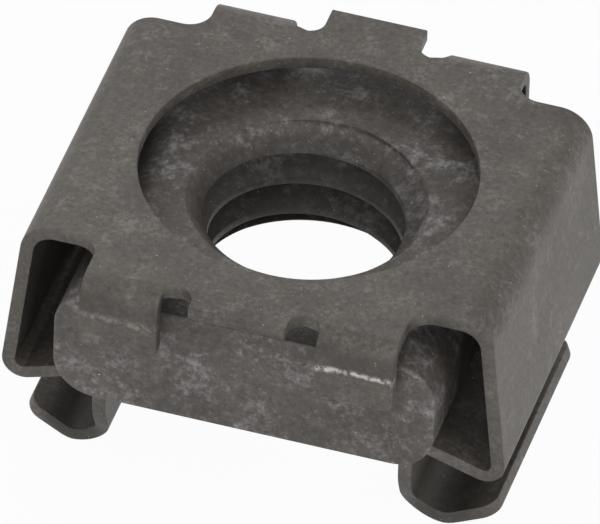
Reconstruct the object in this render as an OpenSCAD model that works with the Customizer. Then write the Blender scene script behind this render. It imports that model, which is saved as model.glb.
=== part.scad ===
// Rack cage nut: a rectangular threaded nut held loose in a cage folded from one steel strip.
// X runs across the two walls, Y along their bends and Z up from the lips that the part stands on.
// The origin is at the middle of the footprint. Millimetres.

/* [Sheet] */
// Thickness of the spring steel
sheet_t = 0.36; // [0.3:0.02:0.44]

/* [Top plate] */
// Height of the cage, from the lips to the top of the plate
cage_h = 7.4; // [7:0.1:9]
// Width of the flat top between the two side bends
flat_w = 10.6; // [10:0.1:12]
// Length of the plate along Y, over its two tongues
plate_l = 12.3; // [11.8:0.1:14]
// Diameter of the hole that the screw passes
hole_d = 8.6; // [6.6:0.1:8.7]

/* [Walls] */
// Length of the walls and the wings along Y
wall_l = 8.75; // [7.6:0.05:9.2]
// Outside radius of the bends between plate and walls
top_bend_r = 0.9; // [0.6:0.05:1.2]
// Angle by which each wall leans outwards
wall_splay = 6.3; // [0:0.1:9]
// Radius of the arches between the walls and the tabs
arch_r = 0.6; // [0.3:0.05:0.8]

/* [Wings] */
// Depth of the wall's bottom bend below the top of the plate
wall_depth = 5.1; // [4.9:0.05:5.6]
// Outside radius of the wall's bottom bend
wall_bend_r = 0.55; // [0.48:0.01:0.7]
// Angle at which the shoulder rises inwards
shoulder_rise = 18; // [10:1:22]
// Inside radius of the bend from shoulder to neck
crest_bend_r = 0.25; // [0.15:0.05:0.5]
// Width over the outsides of the two necks, which enter the square hole
neck_w = 8.4; // [8:0.05:9]
// Outside radius of the bend from neck to lip
lip_bend_r = 1.1; // [0.8:0.05:1.2]
// Angle at which the lip rises outwards
lip_rise = 18; // [10:1:25]
// Width over the tips of the two lips
lip_span = 12.5; // [12.2:0.1:13.4]
// Length of the lip along Y where it leaves its bend
lip_root_l = 7.4; // [6.4:0.1:7.5]
// Length of the lip along Y at its tip
lip_tip_l = 6.8; // [5.5:0.1:7]
// Height at which the wing begins to narrow towards its lip
taper_top = 1.9; // [1.6:0.1:2.1]
// Height at which the wing has narrowed to the lip
taper_end = 0.4; // [0.3:0.05:0.8]
// Radius of the lip's corners
lip_corner_r = 0.4; // [0.1:0.05:0.8]

/* [Tabs] */
// Width of each tab that keeps the nut in
tab_w = 2.05; // [1.6:0.05:2.2]
// Distance between the two tabs of one end
tab_gap = 4.1; // [3.8:0.05:4.4]
// Distance from the middle of the plate to the outside of the front tabs
front_reach = 6.13; // [5.9:0.01:6.6]
// Distance from the middle of the plate to the outside of the rear tabs
rear_reach = 5.8; // [5.78:0.01:6.4]
// Outside radius of the tab's bend
tab_bend_r = 0.65; // [0.45:0.05:0.8]
// Depth of the tab's end below the top of the plate
tab_depth = 1.95; // [1.6:0.05:2.6]
// Radius of the tab's corners
tab_corner_r = 0.25; // [0.1:0.05:0.5]
// Width of the relief notches between tabs and tongue
notch_w = 0.78; // [0.5:0.02:0.9]

/* [Nut] */
// Width of the nut across X
nut_w = 9.95; // [9.4:0.05:10.2]
// Length of the nut along Y
nut_l = 10.7; // [10:0.1:10.8]
// Thickness of the nut
nut_t = 3.3; // [2.8:0.1:3.8]
// Radius of the nut's long edges, as on the bar it is cut from
nut_edge_r = 1.1; // [0.5:0.05:1.3]
// Diameter of the bore, which is the minor diameter of the thread
bore_d = 5; // [4.2:0.1:5.2]
// Diameter of the countersinks at both ends of the bore
countersink_d = 6.15; // [5.4:0.05:6.8]

/* [Hidden] */
$fn = 96;

// Centre of the bend between plate and wall, in the section across X
top_c = [flat_w / 2, cage_h - top_bend_r];

// Centre of the wall's bottom bend: the wall's outer face touches both bends
wall_c_z = cage_h - wall_depth + wall_bend_r;
wall_drop = top_c.y - wall_c_z;
wall_c_x = top_c.x + (wall_drop * sin(wall_splay) + top_bend_r - wall_bend_r) / cos(wall_splay);
wall_c = [wall_c_x, wall_c_z];

// Centre of the crest, the bend from shoulder to neck
crest_c_x = neck_w / 2 + crest_bend_r;
crest_in = wall_c.x - crest_c_x;
crest_drop = (wall_bend_r + crest_bend_r - crest_in * sin(shoulder_rise)) / cos(shoulder_rise);
crest_c = [crest_c_x, wall_c.y - crest_drop];
crest_out_r = crest_bend_r + sheet_t;

// Centre of the bend from neck to lip, and the length of the flat lip
lip_c = [neck_w / 2 - sheet_t + lip_bend_r, lip_bend_r];
lip_run = (lip_span / 2 - lip_c.x - lip_bend_r * sin(lip_rise)) / cos(lip_rise);

// Half-widths of one end of the plate
tab_in = tab_gap / 2;
tab_out = tab_in + tab_w;
tongue_out = tab_in - notch_w;

// The nut's rounded edges lie on the two crests
edge_c_x = nut_w / 2 - nut_edge_r;
edge_to_crest = max(0, crest_c.x - edge_c_x);
seat_r = crest_out_r + nut_edge_r;
nut_z = crest_c.y + sqrt(pow(seat_r, 2) - pow(edge_to_crest, 2)) - nut_edge_r;

countersink_h = (countersink_d - bore_d) / 2;

// Height that a lip's cutting shapes reach
lip_top = lip_bend_r * (1 - cos(lip_rise)) + lip_run * sin(lip_rise) + sheet_t;

// Straight pieces in each bend of the sheet
arc_steps = 14;

// Reach of the cutting shapes beyond what they cut
clear = 1;

// Points along an arc about a centre, from one angle to another
function arc(centre, r, from, to) = [
    for (i = [0:arc_steps]) let (a = from + (to - from) * i / arc_steps) centre + r * [cos(a), sin(a)]
];

function mirrored(points) = [for (p = points) [-p.x, p.y]];
function reversed(points) = [for (i = [len(points) - 1:-1:0]) points[i]];

// Bends of one side, each with its centre, the two angles it runs between
// and its radius on the face that is the plate's top and on the face that is its underside
side_bends = [
    [top_c, 90, wall_splay, top_bend_r, top_bend_r - sheet_t],
    [wall_c, wall_splay, -90 - shoulder_rise, wall_bend_r, wall_bend_r - sheet_t],
    [crest_c, 90 - shoulder_rise, 180, crest_bend_r, crest_out_r],
    [lip_c, 180, 270 + lip_rise, lip_bend_r - sheet_t, lip_bend_r]
];

// One face of the sheet from the plate's side bend to the lip's tip
function face(column) = concat(
    [for (b = side_bends) each arc(b[0], b[column], b[1], b[2])],
    [lip_c + side_bends[3][column] * [sin(lip_rise), -cos(lip_rise)]
        + lip_run * [cos(lip_rise), sin(lip_rise)]]
);

// Section of the whole strip across X: plate, walls, shoulders, necks and lips
module strip_section() {
    side = concat(face(3), reversed(face(4)));
    polygon(concat(side, reversed(mirrored(side))));
}

// Outline of the strip seen along X, narrowing to the lips
module strip_front() {
    side = [
        [lip_root_l / 2, 0],
        [lip_root_l / 2, taper_end],
        [wall_l / 2, taper_top],
        [wall_l / 2, cage_h]
    ];
    polygon(concat(side, reversed(mirrored(side))));
}

// One corner of a lip seen from above, as the waste that is cut away from it
module lip_corner() {
    lip_l = lip_span / 2 - lip_c.x;
    lean = atan((lip_root_l - lip_tip_l) / 2 / lip_l);
    centre = [lip_span / 2 - lip_corner_r, lip_tip_l / 2 - lip_corner_r * tan(45 - lean / 2)];
    round_start = centre + lip_corner_r * [sin(lean), cos(lean)];
    difference() {
        polygon([
            [lip_c.x, lip_root_l / 2],
            round_start,
            centre,
            [lip_span / 2, centre.y],
            [lip_span / 2 + clear, centre.y],
            [lip_span / 2 + clear, wall_l],
            [lip_c.x, wall_l]
        ]);
        translate(centre) circle(lip_corner_r);
    }
}

// The strip between the two ends of the plate, folded and trimmed
module strip() {
    difference() {
        intersection() {
            rotate([90, 0, 0])
                linear_extrude(wall_l, center = true) strip_section();
            rotate([90, 0, 90])
                linear_extrude(2 * (wall_c.x + clear), center = true) strip_front();
        }
        for (x = [0, 1], y = [0, 1])
            mirror([x, 0, 0])
                mirror([0, y, 0])
                    linear_extrude(lip_top) lip_corner();
    }
}

// Outline of the plate's end seen from above: arches, relief notches and the tongue between them
module plate_end_plan(bend_y) {
    notch_r = notch_w / 2;
    difference() {
        union() {
            translate([-tab_out, 0]) square([2 * tab_out, bend_y]);
            translate([-tab_in, 0]) square([2 * tab_in, bend_y + notch_r]);
            translate([-tongue_out, 0]) square([2 * tongue_out, plate_l / 2]);
            for (side = [-1, 1])
                translate([side * (tab_out + arch_r / 2), wall_l / 2 + arch_r / 2])
                    square(arch_r, center = true);
        }
        for (side = [-1, 1]) {
            translate([side * (tab_out + arch_r), wall_l / 2 + arch_r]) circle(arch_r);
            translate([side * (tongue_out + notch_r), bend_y + notch_r]) {
                circle(notch_r);
                translate([-notch_r, 0]) square([notch_w, notch_w]);
            }
        }
    }
}

// One tab seen from its side: the plate's edge bent down in front of the nut
module tab_section(reach) {
    bend_c = [reach - tab_bend_r, cage_h - tab_bend_r];
    polygon(concat(
        [[0, cage_h]],
        arc(bend_c, tab_bend_r, 90, 0),
        [[reach, cage_h - tab_depth], [reach - sheet_t, cage_h - tab_depth]],
        arc(bend_c, tab_bend_r - sheet_t, 0, 90),
        [[0, cage_h - sheet_t]]
    ));
}

// One tab seen from its front, with its two lower corners rounded
module tab_front() {
    translate([0, tab_corner_r - tab_depth]) square([tab_w, tab_depth - tab_corner_r]);
    translate([tab_corner_r, -tab_depth]) square([tab_w - 2 * tab_corner_r, tab_depth]);
    for (x = [tab_corner_r, tab_w - tab_corner_r])
        translate([x, tab_corner_r - tab_depth]) circle(tab_corner_r);
}

// One end of the plate at the rear: tongue, notches and the two tabs that reach out this far
module plate_end(reach) {
    translate([0, 0, cage_h - sheet_t])
        linear_extrude(sheet_t) plate_end_plan(reach - tab_bend_r);
    for (x = [-tab_out, tab_in])
        intersection() {
            translate([x, 0, 0])
                rotate([90, 0, 90])
                    linear_extrude(tab_w) tab_section(reach);
            translate([x, reach + clear, cage_h])
                rotate([90, 0, 0])
                    linear_extrude(reach + clear) tab_front();
        }
}

// The cage: one strip folded into plate, walls, shoulders, necks and lips
module cage() {
    color("#4b4744")
        difference() {
            union() {
                strip();
                plate_end(rear_reach);
                mirror([0, 1, 0]) plate_end(front_reach);
            }
            translate([0, 0, cage_h - sheet_t - clear])
                cylinder(d = hole_d, h = sheet_t + 2 * clear);
        }
}

// Section of the bar that the nut is cut from
module bar_section() {
    square([nut_w - 2 * nut_edge_r, nut_t], center = true);
    square([nut_w, nut_t - 2 * nut_edge_r], center = true);
    for (x = [-1, 1], y = [-1, 1])
        translate([x * (nut_w / 2 - nut_edge_r), y * (nut_t / 2 - nut_edge_r)])
            circle(nut_edge_r);
}

// The nut: a length of round-edged bar, drilled and countersunk for its thread
module nut() {
    color("#5b5c5c")
        translate([0, 0, nut_z])
            difference() {
                translate([0, 0, nut_t / 2])
                    rotate([90, 0, 0])
                        linear_extrude(nut_l, center = true) bar_section();
                translate([0, 0, -clear])
                    cylinder(d = bore_d, h = nut_t + 2 * clear);
                translate([0, 0, -clear])
                    cylinder(d1 = countersink_d + 2 * clear, d2 = bore_d, h = countersink_h + clear);
                translate([0, 0, nut_t - countersink_h])
                    cylinder(d1 = bore_d, d2 = countersink_d + 2 * clear, h = countersink_h + clear);
            }
}

cage();
nut();
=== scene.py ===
import math

import bmesh
import bpy
from mathutils import Matrix, Vector


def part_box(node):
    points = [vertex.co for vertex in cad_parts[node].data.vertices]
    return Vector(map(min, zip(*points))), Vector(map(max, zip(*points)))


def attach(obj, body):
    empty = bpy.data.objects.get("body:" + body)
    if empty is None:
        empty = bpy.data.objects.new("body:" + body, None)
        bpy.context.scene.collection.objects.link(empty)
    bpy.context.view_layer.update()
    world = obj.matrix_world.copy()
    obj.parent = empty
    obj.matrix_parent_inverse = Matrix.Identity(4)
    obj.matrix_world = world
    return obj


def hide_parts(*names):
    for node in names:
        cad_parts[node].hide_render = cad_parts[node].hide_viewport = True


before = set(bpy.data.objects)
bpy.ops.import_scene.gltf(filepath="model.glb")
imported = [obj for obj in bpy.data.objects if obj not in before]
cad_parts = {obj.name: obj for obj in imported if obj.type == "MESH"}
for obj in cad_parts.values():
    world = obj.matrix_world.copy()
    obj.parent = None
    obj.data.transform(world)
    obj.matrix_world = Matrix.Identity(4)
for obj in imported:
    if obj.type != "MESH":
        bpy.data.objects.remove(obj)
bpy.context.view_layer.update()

MM = 0.001
ROOT = "root"

# ---------------------------------------------------------------- sizes, in millimetres
SHEET_T = 0.36
CAGE_H = 7.4
FLAT_HALF = 5.3
PLATE_HALF = 6.15
HOLE_R = 4.3
WALL_HALF = 4.375
TOP_BEND_R = 0.9
WALL_SPLAY = 6.3
ARCH_R = 0.6
WALL_DEPTH = 5.1
WALL_BEND_R = 0.55
SHOULDER_RISE = 18
CREST_BEND_R = 0.25
NECK_HALF = 4.2
LIP_BEND_R = 1.1
LIP_RISE = 18
LIP_HALF_SPAN = 6.25
LIP_ROOT_HALF = 3.7
LIP_TIP_HALF = 3.4
TAPER_TOP = 1.9
LIP_CORNER_R = 0.4
TAB_IN = 2.05
TAB_OUT = 4.1
FRONT_REACH = 6.13
REAR_REACH = 5.8
TAB_BEND_R = 0.65
TAB_DEPTH = 1.95
TAB_CORNER_R = 0.25
NOTCH_R = 0.39

NUT_HALF_W = 4.975
NUT_HALF_L = 5.35
NUT_T = 3.3
NUT_EDGE_R = 1.1
BORE_R = 2.5
ROOT_R = 3.12
GROOVE_Z = 4.3  # height of one groove at the rear of the bore
PITCH = 1.0
COUNTERSINK_R = 3.075

# ---------------------------------------------------------------- pieces in each round stretch
NOTCH_STEPS = 6
ARCH_STEPS = 12
HALF_HOLE_STEPS = 64
TOP_BEND_STEPS = 14
WALL_ROWS = 4
WALL_BEND_STEPS = 16
CREST_STEPS = 12
NECK_ROWS = 5
LIP_BEND_STEPS = 16
LIP_CORNER_STEPS = 6
TAB_BEND_STEPS = 14
TAB_CORNER_STEPS = 5
BAR_EDGE_STEPS = 14
BORE_SIDES = 96
THREAD_STEPS = 60  # to a turn


# ---------------------------------------------------------------- modelling by hand
def deselect_all():
    bpy.ops.object.select_all(action="DESELECT")
    bpy.context.view_layer.objects.active = None


def name_piece(name):
    piece = bpy.context.object
    piece.name = name
    piece.data.name = name
    return piece


def edit(piece, mode="VERT"):
    """Goes into edit mode on this piece with nothing selected."""
    deselect_all()
    piece.select_set(True)
    bpy.context.view_layer.objects.active = piece
    bpy.ops.object.mode_set(mode="EDIT")
    bpy.ops.mesh.select_mode(type=mode)
    bpy.ops.mesh.select_all(action="DESELECT")


def leave():
    bpy.ops.object.mode_set(mode="OBJECT")


def pick_verts(piece, test):
    """Selects the vertices whose place, in millimetres, passes the test."""
    shape = bmesh.from_edit_mesh(piece.data)
    for vert in shape.verts:
        vert.select = bool(test(vert.co / MM))
    shape.select_flush(True)
    bmesh.update_edit_mesh(piece.data)


def pick_edges(piece, test):
    """Selects the edges whose two ends, in millimetres, pass the test."""
    bpy.ops.mesh.select_mode(type="EDGE")
    bpy.ops.mesh.select_all(action="DESELECT")
    shape = bmesh.from_edit_mesh(piece.data)
    for edge in shape.edges:
        if test(edge.verts[0].co / MM, edge.verts[1].co / MM):
            edge.select = True
    shape.select_flush_mode()
    bmesh.update_edit_mesh(piece.data)


def pick_faces(piece, test):
    """Selects the faces whose normal passes the test."""
    bpy.ops.mesh.select_mode(type="FACE")
    bpy.ops.mesh.select_all(action="DESELECT")
    shape = bmesh.from_edit_mesh(piece.data)
    for face in shape.faces:
        if test(face.normal):
            face.select = True
    shape.select_flush_mode()
    bmesh.update_edit_mesh(piece.data)


def pull(x=0.0, y=0.0, z=0.0):
    """Extrudes what is selected by this many millimetres and leaves the new end selected."""
    bpy.ops.mesh.extrude_region_move(
        TRANSFORM_OT_translate={"value": (x * MM, y * MM, z * MM)}
    )


def fold(centre, axis, degrees, steps):
    """Sweeps what is selected round an axis and leaves the new end selected."""
    bpy.ops.mesh.spin(
        steps=steps,
        dupli=False,
        angle=-math.radians(degrees),
        use_auto_merge=False,
        use_normal_flip=False,
        center=[c * MM for c in centre],
        axis=axis,
    )


def finish_modifier(piece, modifier):
    deselect_all()
    piece.select_set(True)
    bpy.context.view_layer.objects.active = piece
    bpy.ops.object.modifier_apply(modifier=modifier.name)


def cut(piece, tool):
    """Cuts the tool's solid out of the piece and throws the tool away."""
    modifier = piece.modifiers.new("cut", "BOOLEAN")
    modifier.operation = "DIFFERENCE"
    modifier.solver = "EXACT"
    modifier.object = tool
    finish_modifier(piece, modifier)
    bpy.data.objects.remove(tool)


def tidy_shell(piece, gap=0.0005):
    """Merges doubles and turns every face outwards."""
    edit(piece)
    bpy.ops.mesh.select_all(action="SELECT")
    bpy.ops.mesh.remove_doubles(threshold=gap * MM)
    bpy.ops.mesh.normals_make_consistent(inside=False)
    leave()


# ---------------------------------------------------------------- the cage, folded from one blank
def start_point(name, x, y, z):
    """One vertex to draw an outline from."""
    deselect_all()
    bpy.ops.mesh.primitive_plane_add(size=MM, location=(0, 0, 0))
    piece = name_piece(name)
    edit(piece)
    bpy.ops.mesh.select_all(action="SELECT")
    bpy.ops.mesh.merge(type="CENTER")
    bpy.ops.transform.translate(value=(x * MM, y * MM, z * MM))
    return piece


def draw_plate_outline():
    """Draws half of the flat plate's outline, from the front tongue round to the rear one."""
    blank = start_point("cage_folded_strip", 0, -PLATE_HALF, CAGE_H)
    tongue = TAB_IN - 2 * NOTCH_R
    front_bend = FRONT_REACH - TAB_BEND_R
    rear_bend = REAR_REACH - TAB_BEND_R
    arch_y = WALL_HALF + ARCH_R
    up = (0, 0, 1)
    pull(x=tongue)
    pull(y=PLATE_HALF - front_bend - NOTCH_R)
    fold((tongue + NOTCH_R, -front_bend - NOTCH_R, CAGE_H), up, -90, NOTCH_STEPS)
    pull(x=TAB_OUT - tongue - NOTCH_R)
    pull(y=front_bend - arch_y)
    fold((TAB_OUT + ARCH_R, -arch_y, CAGE_H), up, -90, ARCH_STEPS)
    pull(x=FLAT_HALF - TAB_OUT - ARCH_R)
    pull(y=2 * WALL_HALF)
    pull(x=TAB_OUT + ARCH_R - FLAT_HALF)
    fold((TAB_OUT + ARCH_R, arch_y, CAGE_H), up, -90, ARCH_STEPS)
    pull(y=rear_bend - arch_y)
    pull(x=tongue + NOTCH_R - TAB_OUT)
    fold((tongue + NOTCH_R, rear_bend + NOTCH_R, CAGE_H), up, -90, NOTCH_STEPS)
    pull(y=PLATE_HALF - rear_bend - NOTCH_R)
    pull(x=-tongue)
    pull(y=HOLE_R - PLATE_HALF)
    fold((0, 0, CAGE_H), up, -180, HALF_HOLE_STEPS)
    pull(y=HOLE_R - PLATE_HALF)
    bpy.ops.mesh.select_all(action="SELECT")
    bpy.ops.mesh.remove_doubles(threshold=0.002 * MM)
    bpy.ops.mesh.select_all(action="SELECT")
    bpy.ops.mesh.edge_face_add()
    leave()
    return blank


def near(a, b, gap=0.01):
    return abs(a - b) < gap


def taper(z):
    """Half of the wing's length along Y at this height, where it narrows towards the lip."""
    share = min(1.0, z / TAPER_TOP)
    share = share * share * (3 - 2 * share)
    return LIP_ROOT_HALF + share * (WALL_HALF - LIP_ROOT_HALF)


def wing_half(angle):
    """Half of the wing's length along Y at this angle of the bend from neck to lip."""
    x = LIP_BEND_R * math.cos(math.radians(angle))
    if angle > 270:
        return LIP_ROOT_HALF - (LIP_ROOT_HALF - LIP_TIP_HALF) * x / (
            LIP_HALF_SPAN - LIP_CENTRE_X
        )
    return taper(LIP_BEND_R * (1 + math.sin(math.radians(angle))))


# centres of the four bends of a side, and the straight runs between them
SPLAY = math.radians(WALL_SPLAY)
RISE = math.radians(SHOULDER_RISE)
LIP_TILT = math.radians(LIP_RISE)
TOP_CENTRE = (FLAT_HALF, CAGE_H - TOP_BEND_R)
WALL_CENTRE_Z = CAGE_H - WALL_DEPTH + WALL_BEND_R
WALL_DROP = TOP_CENTRE[1] - WALL_CENTRE_Z
WALL_CENTRE_X = FLAT_HALF + (
    WALL_DROP * math.sin(SPLAY) + TOP_BEND_R - WALL_BEND_R
) / math.cos(SPLAY)
CREST_X = NECK_HALF + CREST_BEND_R
CREST_Z = WALL_CENTRE_Z - (
    WALL_BEND_R + CREST_BEND_R - (WALL_CENTRE_X - CREST_X) * math.sin(RISE)
) / math.cos(RISE)
LIP_CENTRE_X = NECK_HALF - SHEET_T + LIP_BEND_R
LIP_RUN = (
    LIP_HALF_SPAN - LIP_CENTRE_X - LIP_BEND_R * math.sin(LIP_TILT)
) / math.cos(LIP_TILT)


def on_arc(x, z, r, angle):
    a = math.radians(angle)
    return x + r * math.cos(a), z + r * math.sin(a)


def fold_side(blank):
    """Folds wall, shoulder, neck and lip down from the plate's right edge."""
    edit(blank)
    pick_edges(blank, lambda a, b: near(a.x, FLAT_HALF) and near(b.x, FLAT_HALF))
    along = (0, 1, 0)
    fold((FLAT_HALF, 0, TOP_CENTRE[1]), along, 90 - WALL_SPLAY, TOP_BEND_STEPS)
    x0, z0 = on_arc(*TOP_CENTRE, TOP_BEND_R, WALL_SPLAY)
    x1, z1 = on_arc(WALL_CENTRE_X, WALL_CENTRE_Z, WALL_BEND_R, WALL_SPLAY)
    for _ in range(WALL_ROWS):
        pull(x=(x1 - x0) / WALL_ROWS, z=(z1 - z0) / WALL_ROWS)
    fold(
        (WALL_CENTRE_X, 0, WALL_CENTRE_Z),
        along,
        WALL_SPLAY + 90 + SHOULDER_RISE,
        WALL_BEND_STEPS,
    )
    x0, z0 = on_arc(WALL_CENTRE_X, WALL_CENTRE_Z, WALL_BEND_R, -90 - SHOULDER_RISE)
    x1, z1 = on_arc(CREST_X, CREST_Z, CREST_BEND_R, 90 - SHOULDER_RISE)
    pull(x=x1 - x0, z=z1 - z0)
    fold((CREST_X, 0, CREST_Z), along, -90 - SHOULDER_RISE, CREST_STEPS)
    pull(z=TAPER_TOP - CREST_Z)
    half = WALL_HALF
    for step in range(NECK_ROWS):
        pull(z=(LIP_BEND_R - TAPER_TOP) / NECK_ROWS)
        z = TAPER_TOP + (LIP_BEND_R - TAPER_TOP) * (step + 1) / NECK_ROWS
        after = taper(z)
        bpy.ops.transform.resize(
            value=(1, after / half, 1), center_override=(0, 0, 0)
        )
        half = after
    one_step = (90 + LIP_RISE) / LIP_BEND_STEPS
    for step in range(LIP_BEND_STEPS):
        fold((LIP_CENTRE_X, 0, LIP_BEND_R), along, -one_step, 1)
        after = wing_half(180 + one_step * (step + 1))
        bpy.ops.transform.resize(
            value=(1, after / half, 1), center_override=(0, 0, 0)
        )
        half = after
    pull(x=LIP_RUN * math.cos(LIP_TILT), z=LIP_RUN * math.sin(LIP_TILT))
    bpy.ops.transform.resize(
        value=(1, LIP_TIP_HALF / half, 1), center_override=(0, 0, 0)
    )
    bpy.ops.mesh.select_mode(type="VERT")
    bpy.ops.mesh.bevel(
        affect="VERTICES",
        offset=LIP_CORNER_R * MM,
        segments=LIP_CORNER_STEPS,
        offset_type="OFFSET",
    )
    leave()


def fold_tab(blank, side, reach):
    """Folds a tab down at the front (side -1) or the rear (side 1)."""
    bend_y = reach - TAB_BEND_R
    inner = TAB_IN - NOTCH_R
    edit(blank)
    pick_edges(
        blank,
        lambda a, b: near(a.y, side * bend_y)
        and near(b.y, side * bend_y)
        and min(a.x, b.x) > inner - 0.02,
    )
    steps = TAB_BEND_STEPS
    fold((0, side * bend_y, CAGE_H - TAB_BEND_R), (1, 0, 0), side * -90, steps)
    pull(z=TAB_BEND_R - TAB_DEPTH)
    bpy.ops.mesh.select_mode(type="VERT")
    # the notch's round corner runs on into the bend
    for step in range(1, steps + 2):
        angle = 90 * min(step, steps) / steps
        run = TAB_BEND_R * math.radians(angle)
        y, z = on_arc(bend_y, CAGE_H - TAB_BEND_R, TAB_BEND_R, 90 - angle)
        if step > steps:
            z = CAGE_H - TAB_DEPTH
        if run < NOTCH_R:
            shift = math.sqrt(NOTCH_R**2 - (NOTCH_R - run) ** 2)
        else:
            shift = NOTCH_R
        pick_verts(
            blank,
            lambda p: near(p.x, inner) and near(p.y, side * y) and near(p.z, z),
        )
        bpy.ops.transform.translate(value=(shift * MM, 0, 0))
    pick_verts(
        blank, lambda p: near(p.z, CAGE_H - TAB_DEPTH) and near(p.y, side * reach)
    )
    bpy.ops.mesh.bevel(
        affect="VERTICES",
        offset=TAB_CORNER_R * MM,
        segments=TAB_CORNER_STEPS,
        offset_type="OFFSET",
    )
    leave()


def make_cage():
    blank = draw_plate_outline()
    fold_side(blank)
    fold_tab(blank, -1, FRONT_REACH)
    fold_tab(blank, 1, REAR_REACH)

    mirror = blank.modifiers.new("other side", "MIRROR")
    mirror.use_axis = (True, False, False)
    mirror.merge_threshold = 0.002 * MM
    finish_modifier(blank, mirror)
    edit(blank)
    bpy.ops.mesh.select_all(action="SELECT")
    bpy.ops.mesh.normals_make_consistent(inside=False)
    plate = max(
        bmesh.from_edit_mesh(blank.data).faces, key=lambda f: f.calc_area()
    )
    if plate.normal.z < 0:
        bpy.ops.mesh.flip_normals()
    leave()

    sheet = blank.modifiers.new("sheet", "SOLIDIFY")
    sheet.thickness = SHEET_T * MM
    sheet.offset = -1
    sheet.use_even_offset = True
    sheet.use_rim = True
    finish_modifier(blank, sheet)
    return blank


def soften_edges(piece, width, segments=2):
    """Rounds the sharp edges by this many millimetres and evens the shading."""
    edges = piece.modifiers.new("worn edges", "BEVEL")
    edges.width = width * MM
    edges.segments = segments
    edges.limit_method = "ANGLE"
    edges.angle_limit = math.radians(38)
    edges.use_clamp_overlap = True
    finish_modifier(piece, edges)
    deselect_all()
    piece.select_set(True)
    bpy.context.view_layer.objects.active = piece
    bpy.ops.object.shade_smooth_by_angle(angle=math.radians(42))
    even = piece.modifiers.new("even shading", "WEIGHTED_NORMAL")
    even.mode = "FACE_AREA"
    even.weight = 50
    even.keep_sharp = True
    finish_modifier(piece, even)


# ---------------------------------------------------------------- the nut, cut from round-edged bar
def cylinder(name, radius, low, high, cone=None):
    """A round cutter from one height to another; cone is its radius at the top."""
    deselect_all()
    middle = (low + high) / 2
    bpy.ops.mesh.primitive_cone_add(
        vertices=BORE_SIDES,
        radius1=radius * MM,
        radius2=(radius if cone is None else cone) * MM,
        depth=(high - low) * MM,
        location=(0, 0, middle * MM),
    )
    piece = name_piece(name)
    bpy.ops.object.transform_apply(location=True, rotation=True, scale=True)
    return piece


def thread_groove(low):
    """The helical groove that the tap cuts, as a closed solid; it starts at the rear of the bore."""
    deselect_all()
    bpy.ops.mesh.primitive_plane_add(
        size=MM, location=(0, 0, 0), rotation=(0, math.pi / 2, 0)
    )
    piece = name_piece("tap")
    bpy.ops.object.transform_apply(location=True, rotation=True, scale=True)
    edit(piece)
    bpy.ops.mesh.select_all(action="SELECT")
    inner, outer = BORE_R - 0.07, ROOT_R
    inner_w, outer_w = 0.86, 0.14
    bpy.ops.transform.resize(
        value=(1, outer - inner, inner_w), center_override=(0, 0, 0)
    )
    bpy.ops.transform.translate(value=(0, (outer + inner) / 2 * MM, low * MM))
    pick_edges(piece, lambda a, b: near(a.y, outer) and near(b.y, outer))
    bpy.ops.transform.resize(
        value=(1, 1, outer_w / inner_w), center_override=(0, outer * MM, low * MM)
    )
    # only the outline of the groove's section is swept
    bpy.ops.mesh.select_all(action="SELECT")
    bpy.ops.mesh.delete(type="ONLY_FACE")
    leave()
    turns = 6
    helix = piece.modifiers.new("helix", "SCREW")
    helix.axis = "Z"
    helix.angle = math.radians(360 * turns)
    helix.screw_offset = PITCH * turns * MM
    helix.steps = THREAD_STEPS * turns
    helix.render_steps = THREAD_STEPS * turns
    helix.use_merge_vertices = False
    finish_modifier(piece, helix)
    for end in (low, low + PITCH * turns):
        edit(piece)
        pick_edges(
            piece,
            lambda a, b: near(a.x, 0, 0.001)
            and near(b.x, 0, 0.001)
            and a.y > 0
            and abs(a.z - end) < 0.48
            and abs(b.z - end) < 0.48,
        )
        bpy.ops.mesh.edge_face_add()
        leave()
    tidy_shell(piece)
    return piece


def make_nut():
    low_corner, high_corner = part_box("nut")
    low, high = low_corner.z / MM, high_corner.z / MM
    deselect_all()
    bpy.ops.mesh.primitive_cube_add(size=MM, location=(0, 0, 0))
    nut = name_piece("tapped_nut")
    edit(nut)
    bpy.ops.mesh.select_all(action="SELECT")
    bpy.ops.transform.resize(
        value=(2 * NUT_HALF_W, 2 * NUT_HALF_L, NUT_T), center_override=(0, 0, 0)
    )
    bpy.ops.transform.translate(value=(0, 0, (low + high) / 2 * MM))
    pick_edges(nut, lambda a, b: abs(a.y - b.y) > NUT_HALF_L)
    bpy.ops.mesh.bevel(
        affect="EDGES", offset=NUT_EDGE_R * MM, segments=BAR_EDGE_STEPS, profile=0.5
    )
    # the ends are sawn from the bar, with a slightly broken edge
    pick_faces(nut, lambda normal: abs(normal.y) > 0.9)
    bpy.ops.mesh.region_to_loop()
    bpy.ops.mesh.bevel(affect="EDGES", offset=0.09 * MM, segments=3, profile=0.5)
    leave()
    depth = COUNTERSINK_R - BORE_R
    reach = 1.0
    cut(nut, cylinder("drill", BORE_R, low - reach, high + reach))
    cut(
        nut,
        cylinder(
            "top_countersink",
            BORE_R,
            high - depth,
            high + reach,
            cone=BORE_R + depth + reach,
        ),
    )
    cut(
        nut,
        cylinder(
            "under_countersink",
            BORE_R + depth + reach,
            low - reach,
            low + depth,
            cone=BORE_R,
        ),
    )
    cut(nut, thread_groove(GROOVE_Z - 3 * PITCH))
    tidy_shell(nut)
    return nut


# ---------------------------------------------------------------- finishes
def as_linear(code):
    """A colour written as hex, in the renderer's linear values."""
    parts = [int(code[i : i + 2], 16) / 255 for i in (1, 3, 5)]
    bright = [
        c / 12.92 if c <= 0.04045 else ((c + 0.055) / 1.055) ** 2.4 for c in parts
    ]
    return (*bright, 1.0)


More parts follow.
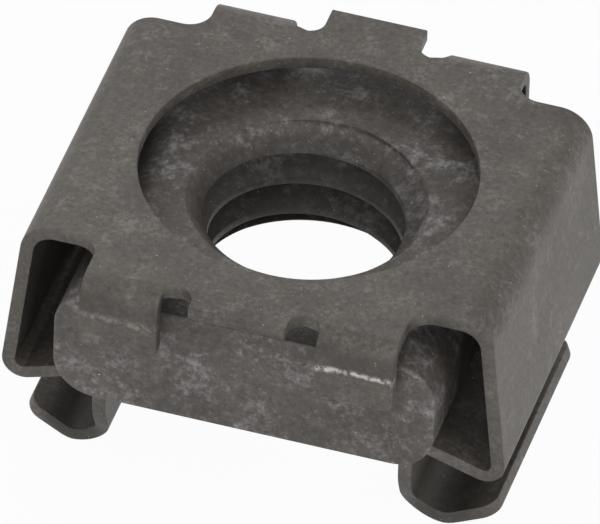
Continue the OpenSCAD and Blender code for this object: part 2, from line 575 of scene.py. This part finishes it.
class Value:
    """A node's output that takes part in sums; each sum adds a Math node."""

    def __init__(self, finish, socket):
        self.finish = finish
        self.socket = socket

    def _math(self, operation, first, second=0.0, clamp=False):
        return self.finish.node(
            "ShaderNodeMath",
            {"operation": operation, "use_clamp": clamp},
            {0: first, 1: second},
        )

    def __add__(self, other):
        return self._math("ADD", self, other)

    def __radd__(self, other):
        return self._math("ADD", other, self)

    def __sub__(self, other):
        return self._math("SUBTRACT", self, other)

    def __rsub__(self, other):
        return self._math("SUBTRACT", other, self)

    def __mul__(self, other):
        return self._math("MULTIPLY", self, other)

    def __rmul__(self, other):
        return self._math("MULTIPLY", other, self)

    def held(self):
        """Kept between 0 and 1."""
        return self._math("ADD", self, 0.0, clamp=True)

    def step(self, low, high):
        """0 below low, 1 above high and smooth between."""
        return self.finish.node(
            "ShaderNodeMapRange",
            {"interpolation_type": "SMOOTHSTEP"},
            {"Value": self, "From Min": low, "From Max": high},
        )


class Finish:
    """A material and the nodes that are added to it."""

    def __init__(self, name):
        self.material = bpy.data.materials.new(name)
        self.material.use_nodes = True
        self.tree = self.material.node_tree
        self.shader = self.tree.nodes["Principled BSDF"]
        place = self.node("ShaderNodeTexCoord", output="Object")
        self.place = self.node(
            "ShaderNodeMapping", {}, {"Vector": place, "Scale": (1000, 1000, 1000)}
        )

    def node(self, kind, settings=None, inputs=None, output=0):
        made = self.tree.nodes.new(kind)
        for key, value in (settings or {}).items():
            setattr(made, key, value)
        for key, value in (inputs or {}).items():
            if isinstance(value, Value):
                self.tree.links.new(value.socket, made.inputs[key])
            else:
                made.inputs[key].default_value = value
        return Value(self, made.outputs[output])

    def along(self, axis):
        """The place along X, Y or Z, in millimetres."""
        return self.node("ShaderNodeSeparateXYZ", {}, {0: self.place}, output=axis)

    def feed(self, name, value):
        if isinstance(value, Value):
            self.tree.links.new(value.socket, self.shader.inputs[name])
        else:
            self.shader.inputs[name].default_value = value

    def noise(self, scale, detail=5.0, roughness=0.6, stretch=None, shift=0.0):
        """Noise with this many features to the millimetre."""
        place = self.place
        if stretch or shift:
            place = self.node(
                "ShaderNodeMapping",
                {},
                {
                    "Vector": place,
                    "Scale": stretch or (1, 1, 1),
                    "Location": (shift, shift * 0.7, shift * 1.3),
                },
            )
        return self.node(
            "ShaderNodeTexNoise",
            {"noise_dimensions": "3D"},
            {
                "Vector": place,
                "Scale": scale,
                "Detail": detail,
                "Roughness": roughness,
            },
            output="Fac",
        )

    def blend(self, share, low, high):
        """Colour low where share is 0 and high where it is 1."""
        return self.node(
            "ShaderNodeMix",
            {"data_type": "RGBA"},
            {0: share, 6: low, 7: high},
            output=2,
        )

    def bumps(self, height, strength, depth):
        """Relief of this depth in millimetres."""
        normal = self.node(
            "ShaderNodeBump",
            {},
            {"Height": height, "Strength": strength, "Distance": depth * MM},
            output="Normal",
        )
        self.feed("Normal", normal)


def phosphate(name, dark, middle, pale, grain, chalk, metal, rough, tab_marks_and_shade=False):
    """Matt dark phosphate coat: cloudy, finely grained, rubbed pale in places, with tiny white specks; on
    the cage it also paints a highlight and shade on the tabs and shade in the lips, on the nut shade in
    the bore.
    """
    coat = Finish(name)
    clouds = coat.noise(0.32, 5, 0.55)
    patches = coat.noise(0.9, 8, 0.72, shift=5.3)
    crystals = coat.noise(grain, 5, 0.75, shift=2.1)
    grit = coat.noise(grain * 2.6, 4, 0.7, shift=6.2)
    dust = coat.noise(14.0, 2, 0.5, shift=9.7)
    rubs = coat.noise(2.2, 5, 0.7, stretch=(0.45, 3.2, 0.8), shift=3.9)
    rub_area = coat.noise(0.5, 3, 0.5, shift=12.5).step(0.52, 0.72)

    tone = (clouds * 0.3 + patches * 0.35 + crystals * 0.35).step(0.34, 0.66)
    colour = coat.blend(tone, as_linear(dark), as_linear(middle))
    chalky = (patches * 0.62 + crystals * 0.38).step(0.5, 0.68) * chalk
    colour = coat.blend(chalky, colour, as_linear(pale))
    grainy = (crystals * 0.4 + grit * 0.6).step(0.54, 0.72) * 0.42
    colour = coat.blend(grainy, colour, as_linear(pale))
    pits = (1 - (crystals * 0.45 + grit * 0.55).step(0.34, 0.48)) * 0.55
    colour = coat.blend(pits, colour, as_linear("#2a2624"))
    rubbed = rubs.step(0.56, 0.74) * rub_area * 0.5
    colour = coat.blend(rubbed, colour, as_linear("#918d87"))
    rough_now = rough + (patches - 0.5) * 0.25 + (grit - 0.5) * 0.3 - rubbed * 0.12
    if tab_marks_and_shade:
        # the folding tool burnished the foot of each tab's bend, so it is less rough there and also gets
        # a painted highlight in near-white; the bend above it gets painted shade
        height, reach, across = coat.along("Z"), coat.along("Y"), coat.along("X")
        outer = (reach * -1.0).step(5.9, 6.02)
        wander = height + (patches - 0.5) * 0.35
        broken = (rubs * 0.35 + crystals * 0.65).step(0.43, 0.6)
        burnish_and_painted_highlight = wander.step(6.3, 6.4) * (1 - wander.step(6.42, 6.56)) * outer
        burnish_and_painted_highlight = burnish_and_painted_highlight * broken * (0.16 + across.step(1.0, 2.6) * 0.66)
        # painted shade on the curve of the bend above the burnished band
        above = height.step(6.45, 6.62) * (1 - height.step(6.95, 7.25)) * outer * 0.5
        colour = coat.blend(above, colour, as_linear("#3b3631"))
        colour = coat.blend(burnish_and_painted_highlight, colour, as_linear("#dddbd6"))
        rough_now = rough_now - burnish_and_painted_highlight * 0.3
        # painted shade in the hollows of the lips
        width = across * across
        painted_lip_shade = (1 - height.step(0.9, 2.3)) * (1 - width.step(28.0, 36.0)) * 0.62
        colour = coat.blend(painted_lip_shade, colour, as_linear("#24211e"))
    else:
        # painted shade in and round the threaded bore
        x, y = coat.along("X"), coat.along("Y")
        painted_bore_shade = (1 - (x * x + y * y).step(7.4, 9.4)) * 0.45
        colour = coat.blend(painted_bore_shade, colour, as_linear("#2b2825"))
    specks = dust.step(0.725, 0.775) * 0.8
    colour = coat.blend(specks, colour, as_linear("#d4d1ca"))
    coat.feed("Base Color", colour)
    coat.feed("Roughness", rough_now.held())
    coat.feed("Metallic", metal)
    coat.bumps(crystals * 0.5 + patches * 0.6 + grit * 0.4, 0.6, 0.03)
    return coat.material


def shop_floor():
    """Plain pale floor; it looks white and keeps the part's soft shadow."""
    floor = Finish("white_floor")
    floor.feed("Base Color", (0.6, 0.6, 0.6, 1))
    floor.feed("Roughness", 0.9)
    glow = floor.node(
        "ShaderNodeEmission", {}, {"Color": (1, 1, 1, 1), "Strength": 1.0}, "Emission"
    )
    camera = floor.node("ShaderNodeLightPath", output="Is Camera Ray")
    mirror = floor.node("ShaderNodeLightPath", output="Is Glossy Ray")
    through = floor.node("ShaderNodeLightPath", output="Is Transmission Ray")
    seen = (camera * 0.96 + mirror + through).held()
    plain = Value(floor, floor.shader.outputs["BSDF"])
    both = floor.node("ShaderNodeMixShader", {}, {0: seen, 1: plain, 2: glow})
    output = floor.tree.nodes["Material Output"]
    floor.tree.links.new(both.socket, output.inputs["Surface"])
    return floor.material


def white_room(strength):
    """Even light from all round, white where the camera looks past the part."""
    world = bpy.data.worlds.new("studio")
    bpy.context.scene.world = world
    world.use_nodes = True
    tree = world.node_tree
    tree.nodes.clear()
    output = tree.nodes.new("ShaderNodeOutputWorld")
    light = tree.nodes.new("ShaderNodeBackground")
    light.inputs["Color"].default_value = (1, 0.99, 0.97, 1)
    light.inputs["Strength"].default_value = strength
    white = tree.nodes.new("ShaderNodeBackground")
    white.inputs["Strength"].default_value = 1.0
    path = tree.nodes.new("ShaderNodeLightPath")
    mix = tree.nodes.new("ShaderNodeMixShader")
    tree.links.new(path.outputs["Is Camera Ray"], mix.inputs[0])
    tree.links.new(light.outputs[0], mix.inputs[1])
    tree.links.new(white.outputs[0], mix.inputs[2])
    tree.links.new(mix.outputs[0], output.inputs["Surface"])


def soft_lamp(name, place, size, power):
    """A square lamp, in millimetres and milliwatts, that faces the part."""
    data = bpy.data.lights.new(name, "AREA")
    data.size = size * MM
    data.energy = power * MM
    lamp = bpy.data.objects.new(name, data)
    bpy.context.scene.collection.objects.link(lamp)
    lamp.location = [c * MM for c in place]
    aim = Vector((0, 0, CAGE_H / 2 * MM)) - lamp.location
    lamp.rotation_euler = aim.to_track_quat("-Z", "Y").to_euler()


def make_camera():
    """Looks down at the front right of the part from far away."""
    azimuth, elevation, roll = (math.radians(a) for a in (15.645, 40.657, 2.264))
    target = Vector((0, 0, CAGE_H / 2 * MM))
    away = 442.8 * MM
    forward = Vector(
        (
            -math.sin(azimuth) * math.cos(elevation),
            math.cos(azimuth) * math.cos(elevation),
            -math.sin(elevation),
        )
    )
    right = Vector((math.cos(azimuth), math.sin(azimuth), 0))
    up = right.cross(forward)
    side = math.cos(roll) * right + math.sin(roll) * up
    top = math.cos(roll) * up - math.sin(roll) * right
    data = bpy.data.cameras.new("camera")
    camera = bpy.data.objects.new("camera", data)
    bpy.context.scene.collection.objects.link(camera)
    turn = Matrix((side, top, -forward)).transposed()
    camera.matrix_world = Matrix.Translation(target - forward * away) @ turn.to_4x4()
    data.sensor_width = 36
    data.lens = 1053.4
    data.shift_x = -0.0074
    data.shift_y = 0.0291
    bpy.context.scene.camera = camera


# ---------------------------------------------------------------- putting it together
make_camera()
cage = make_cage()
soften_edges(cage, width=0.045)
nut = make_nut()
soften_edges(nut, width=0.03)

cage.data.materials.clear()
cage.data.materials.append(
    phosphate(
        "cage_phosphate",
        "#48433f",
        "#67625d",
        "#8d8a86",
        grain=6.5,
        chalk=0.5,
        metal=0.2,
        rough=0.52,
        tab_marks_and_shade=True,
    )
)
nut.data.materials.clear()
nut.data.materials.append(
    phosphate(
        "nut_phosphate",
        "#443f3c",
        "#67625e",
        "#a3a2a6",
        grain=5.0,
        chalk=0.75,
        metal=0.2,
        rough=0.55,
    )
)

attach(cage, ROOT)
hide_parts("cage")
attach(nut, ROOT)
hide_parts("nut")

deselect_all()
bpy.ops.mesh.primitive_plane_add(size=4.0, location=(0, 0, 0))
floor = name_piece("floor")
floor.data.materials.append(shop_floor())

white_room(0.68)
soft_lamp("key", (-90, 110, 190), 70, 60)
soft_lamp("front", (20, -210, 80), 90, 108)
soft_lamp("side", (220, -30, 60), 90, 66)
soft_lamp("back", (-60, 230, 60), 120, 40)

view = bpy.context.scene.view_settings
view.view_transform = "Standard"
